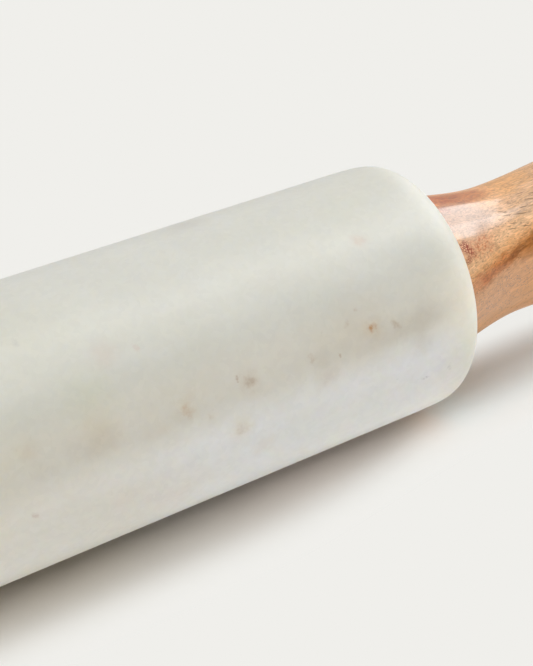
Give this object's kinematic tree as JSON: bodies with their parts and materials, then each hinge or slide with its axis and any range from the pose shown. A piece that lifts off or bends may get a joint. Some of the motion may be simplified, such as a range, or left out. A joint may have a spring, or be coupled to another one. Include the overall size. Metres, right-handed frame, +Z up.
{
  "type": "marble rolling pin",
  "caption": "Kitchen rolling pin for dough: a polished marble barrel turns freely on a steel axle between turned wooden handles.",
  "frame": {"origin": "centre of the marble barrel, on the axis that it turns about", "axes": "+X along the axis, towards the handle on the right; +Z up; +Y away from someone who faces the pin"},
  "size_m": [0.4478, 0.06, 0.06],
  "materials": {
    "marble": "honed and softly polished white marble with faint grey-green clouds and tan flecks",
    "acacia_wood": "oiled acacia with dark streaks and fine pores, satin",
    "plug_wood": "oiled acacia, end of the plug sanded flush, satin",
    "axle_steel": "drawn stainless steel bar",
    "washer_steel": "stainless steel",
    "nut_steel": "stainless steel",
    "nylon": "natural white nylon"
  },
  "bodies": {
    "handles": {"axle_rod": "axle_steel", "thrust_washer_left": "washer_steel", "thrust_washer_right": "washer_steel", "handle_left": "acacia_wood", "handle_right": "acacia_wood", "nut_washer_left": "washer_steel", "nut_washer_right": "washer_steel", "handle_nut_left": "nut_steel", "handle_nut_right": "nut_steel", "nut_insert_left": "nylon", "nut_insert_right": "nylon", "end_plug_left": "plug_wood", "end_plug_right": "plug_wood"},
    "barrel": {"marble_barrel": "marble", "bush_left": "nylon", "bush_right": "nylon"}
  },
  "joints": [
    {"name": "barrel_spin", "type": "hinge", "parent": "handles", "child": "barrel", "pos_m": [0, 0, 0], "axis": [1, 0, 0], "continuous": true}
  ]
}
